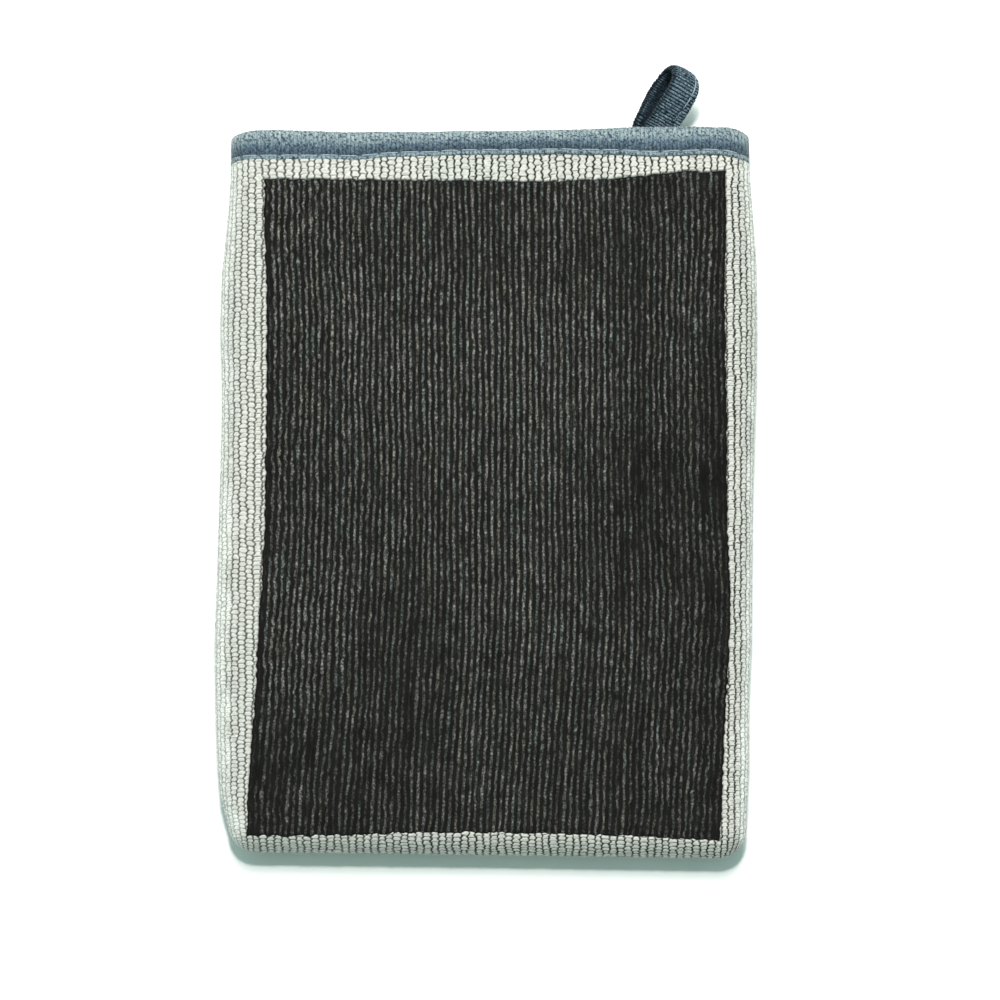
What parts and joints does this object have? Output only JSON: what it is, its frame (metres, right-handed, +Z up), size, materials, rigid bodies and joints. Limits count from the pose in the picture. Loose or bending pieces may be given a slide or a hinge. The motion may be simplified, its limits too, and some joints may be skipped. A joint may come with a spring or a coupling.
{
  "type": "wash mitt",
  "caption": "Knitted microfibre wash mitt with a ribbed polymer working face, a bound open cuff for the hand and a hang loop that swings.",
  "frame": {"origin": "middle of the flat underside, where the mitt rests", "axes": "+Z up through the mitt's thickness, +Y from the fingertip end to the cuff, +X to the right seen from above with the cuff away"},
  "size_m": [0.169, 0.2531, 0.018],
  "materials": {
    "knit": "soft looped microfibre knit",
    "polymer": "ribbed, semi-gloss",
    "foam": "open-cell foam, matte",
    "lining": "plain woven lining, matte",
    "tape": "ribbed knitted tape, matte",
    "thread_pale": "twisted sewing thread",
    "thread_blue": "twisted sewing thread"
  },
  "bodies": {
    "mitt": {"front_panel": "knit", "back_panel": "knit", "clay_face": "polymer", "front_foam": "foam", "lining_front": "lining", "lining_back": "lining", "side_seam_left": "thread_pale", "side_seam_right": "thread_pale", "tip_seam": "thread_pale", "lining_seam": "thread_pale", "cuff_binding": "tape", "cuff_topstitch": "thread_blue", "cuff_inner_stitch": "thread_blue", "binding_join_stitch": "thread_blue", "loop_anchor": "tape", "loop_bar_tack": "thread_blue"},
    "loop": {"hang_loop": "tape", "loop_edge_stitch": "thread_blue"}
  },
  "joints": [
    {"name": "hang_loop_swing", "type": "hinge", "parent": "mitt", "child": "loop", "pos_m": [0.053, 0.118, 0.009], "axis": [0.8333, -0.4065, -0.3746], "range_deg": [-45, 40]}
  ]
}
